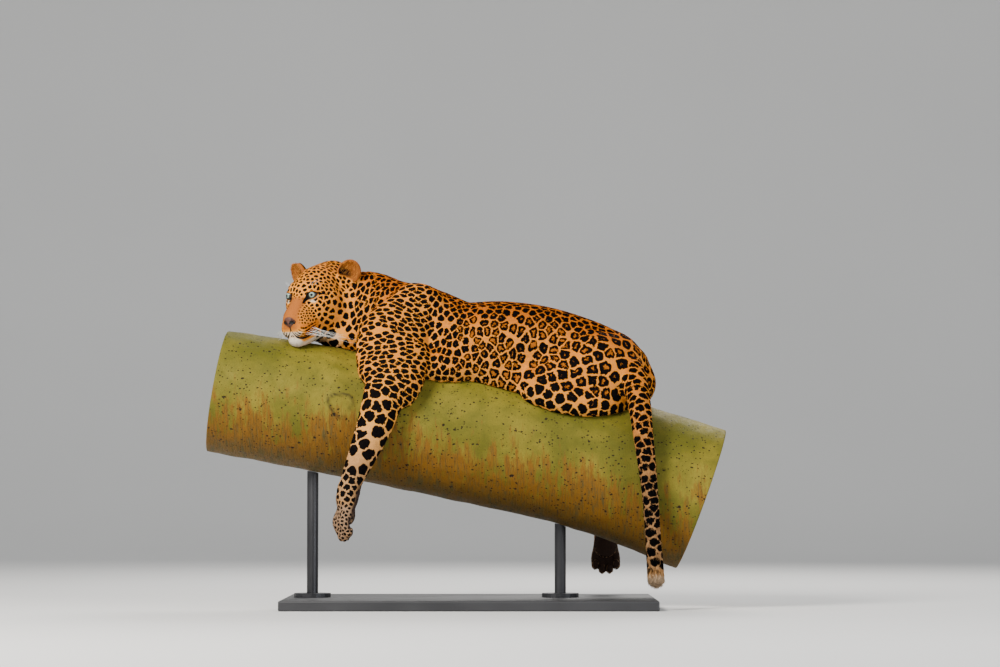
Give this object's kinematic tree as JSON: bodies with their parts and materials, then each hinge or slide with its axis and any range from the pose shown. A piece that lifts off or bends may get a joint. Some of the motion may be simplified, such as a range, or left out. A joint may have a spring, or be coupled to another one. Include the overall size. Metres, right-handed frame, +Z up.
{
  "type": "leopard",
  "caption": "Life-size still model of a leopard at rest, lying astride a cut length of thick branch with a foreleg and the tail hanging, on a flat display stand.",
  "frame": {"origin": "on the underside of the base, below the middle of the branch", "axes": "+X from the leopard's head towards its tail, along the branch; +Y towards the animal's far, right side; +Z up"},
  "size_m": [1.5532, 0.62, 1.0453],
  "materials": {
    "coat": "short spotted fur",
    "eye": "wet and glossy, opaque",
    "bark": "smooth powdery yellow-green bark",
    "stand_paint": "plywood in satin dark paint",
    "stand_steel": "satin black steel"
  },
  "bodies": {
    "root": {"head": "coat", "neck": "coat", "torso": "coat", "ear_left": "coat", "ear_right": "coat", "paw_left_fore": "coat", "forearm_left": "coat", "upper_arm_left": "coat", "paw_right_fore": "coat", "forearm_right": "coat", "upper_arm_right": "coat", "foot_left_hind": "coat", "shank_left": "coat", "thigh_left": "coat", "foot_right_hind": "coat", "shank_right": "coat", "thigh_right": "coat", "tail_base": "coat", "tail_middle": "coat", "tail_end": "coat", "eye_left": "eye", "eye_right": "eye", "perch": "bark", "stand_base": "stand_paint", "stand_rod_front": "stand_steel", "stand_rod_rear": "stand_steel"}
  },
  "joints": []
}
